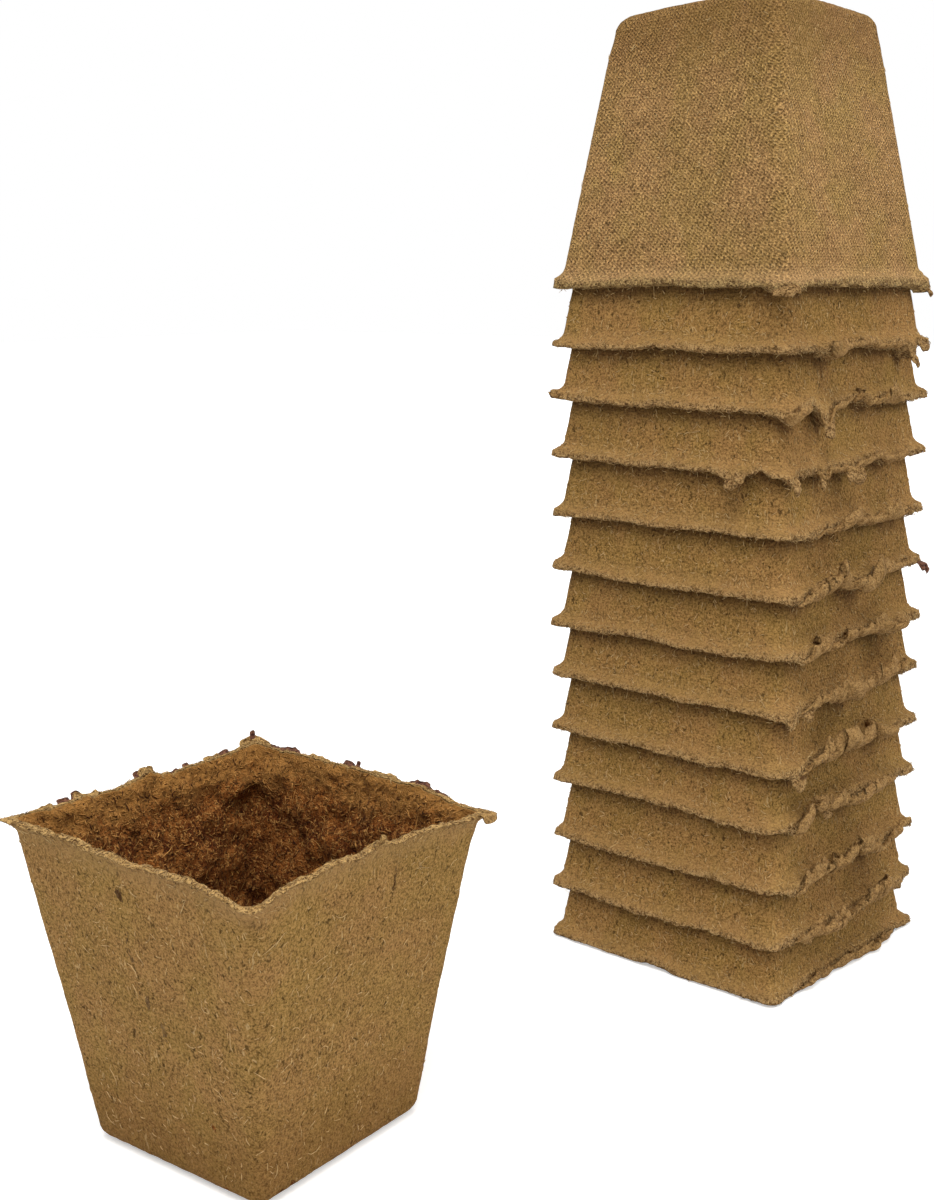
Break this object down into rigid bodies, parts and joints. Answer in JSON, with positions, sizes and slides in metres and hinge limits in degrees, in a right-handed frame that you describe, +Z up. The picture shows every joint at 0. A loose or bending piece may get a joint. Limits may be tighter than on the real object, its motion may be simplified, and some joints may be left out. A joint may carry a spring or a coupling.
{
  "type": "peat pot set",
  "caption": "Square tapered pots pressed from peat fibre, standing open or nested upside down in a tall stack, each with a thin lip around its mouth.",
  "frame": {"origin": "middle of the whole set, on the surface that it stands on", "axes": "+Z up, the standing pot's walls run along X and Y, and the stack is behind it at +Y"},
  "size_m": [0.122, 0.261, 0.2822],
  "materials": {
    "pressed_fibre": "rough pressed peat and wood fibre"
  },
  "bodies": {
    "stack_pot_01": {"stack_pot_01": "pressed_fibre"},
    "stack_pot_02": {"stack_pot_02": "pressed_fibre"},
    "stack_pot_03": {"stack_pot_03": "pressed_fibre"},
    "stack_pot_04": {"stack_pot_04": "pressed_fibre"},
    "stack_pot_05": {"stack_pot_05": "pressed_fibre"},
    "stack_pot_06": {"stack_pot_06": "pressed_fibre"},
    "stack_pot_07": {"stack_pot_07": "pressed_fibre"},
    "stack_pot_08": {"stack_pot_08": "pressed_fibre"},
    "stack_pot_09": {"stack_pot_09": "pressed_fibre"},
    "stack_pot_10": {"stack_pot_10": "pressed_fibre"},
    "stack_pot_11": {"stack_pot_11": "pressed_fibre"},
    "stack_pot_12": {"stack_pot_12": "pressed_fibre"},
    "stack_pot_13": {"stack_pot_13": "pressed_fibre"},
    "standing_pot": {"standing_pot": "pressed_fibre"}
  },
  "joints": [
    {"name": "standing_pot_lift", "type": "slide", "parent": "stack_pot_01", "child": "standing_pot", "axis": [0, 0, 1], "range_m": [0, 0.08]},
    {"name": "stack_pot_02_lift", "type": "slide", "parent": "stack_pot_01", "child": "stack_pot_02", "axis": [0, 0, 1], "range_m": [0, 0.08]},
    {"name": "stack_pot_03_lift", "type": "slide", "parent": "stack_pot_02", "child": "stack_pot_03", "axis": [0, 0, 1], "range_m": [0, 0.08]},
    {"name": "stack_pot_04_lift", "type": "slide", "parent": "stack_pot_03", "child": "stack_pot_04", "axis": [0, 0, 1], "range_m": [0, 0.08]},
    {"name": "stack_pot_05_lift", "type": "slide", "parent": "stack_pot_04", "child": "stack_pot_05", "axis": [0, 0, 1], "range_m": [0, 0.08]},
    {"name": "stack_pot_06_lift", "type": "slide", "parent": "stack_pot_05", "child": "stack_pot_06", "axis": [0, 0, 1], "range_m": [0, 0.08]},
    {"name": "stack_pot_07_lift", "type": "slide", "parent": "stack_pot_06", "child": "stack_pot_07", "axis": [0, 0, 1], "range_m": [0, 0.08]},
    {"name": "stack_pot_08_lift", "type": "slide", "parent": "stack_pot_07", "child": "stack_pot_08", "axis": [0, 0, 1], "range_m": [0, 0.08]},
    {"name": "stack_pot_09_lift", "type": "slide", "parent": "stack_pot_08", "child": "stack_pot_09", "axis": [0, 0, 1], "range_m": [0, 0.08]},
    {"name": "stack_pot_10_lift", "type": "slide", "parent": "stack_pot_09", "child": "stack_pot_10", "axis": [0, 0, 1], "range_m": [0, 0.08]},
    {"name": "stack_pot_11_lift", "type": "slide", "parent": "stack_pot_10", "child": "stack_pot_11", "axis": [0, 0, 1], "range_m": [0, 0.08]},
    {"name": "stack_pot_12_lift", "type": "slide", "parent": "stack_pot_11", "child": "stack_pot_12", "axis": [0, 0, 1], "range_m": [0, 0.08]},
    {"name": "stack_pot_13_lift", "type": "slide", "parent": "stack_pot_12", "child": "stack_pot_13", "axis": [0, 0, 1], "range_m": [0, 0.08]}
  ]
}
